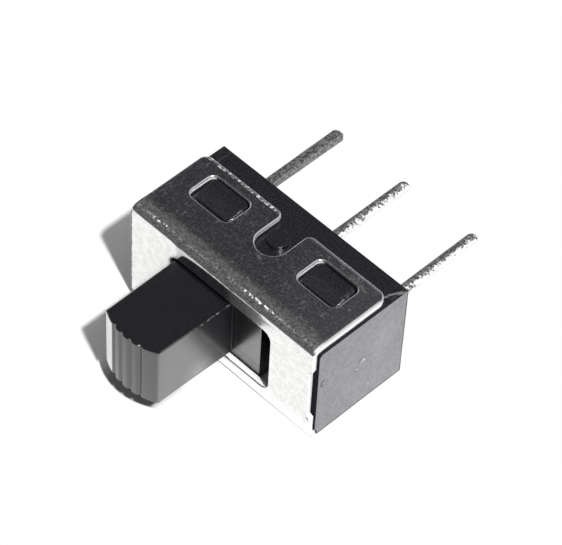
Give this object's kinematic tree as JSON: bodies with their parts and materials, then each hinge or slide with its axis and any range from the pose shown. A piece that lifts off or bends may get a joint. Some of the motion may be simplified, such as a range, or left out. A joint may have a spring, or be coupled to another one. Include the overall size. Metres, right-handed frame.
{
  "type": "slide switch",
  "caption": "Miniature slide switch with a ribbed knob in a slotted folded metal cover, and a row of square pins for a circuit board.",
  "frame": {"origin": "centre of the whole switch's box in X and Y, on the outside of the cover's lower flap, at rest with the slider at its -X stop", "axes": "+X along the slider's travel, +Y out of the base along the pins, +Z out of the cover's upper flap; the knob points to -Y"},
  "size_m": [0.0126, 0.0182, 0.0066],
  "materials": {
    "plated_sheet": "bright plated steel sheet with fine handling wear",
    "base_plastic": "black glass-filled moulding, satin",
    "slider_plastic": "black moulding, semi-gloss",
    "contact_metal": "bright spring strip",
    "tinned_terminal": "tin-plated, slightly dull"
  },
  "bodies": {
    "housing": {"cover": "plated_sheet", "base": "base_plastic", "terminal_left": "tinned_terminal", "terminal_common": "tinned_terminal", "terminal_right": "tinned_terminal"},
    "slider": {"slider": "slider_plastic", "contact_clip": "contact_metal"}
  },
  "joints": [
    {"name": "slider_travel", "type": "slide", "parent": "housing", "child": "slider", "axis": [1, 0, 0], "range_m": [0, 0.0026]}
  ]
}
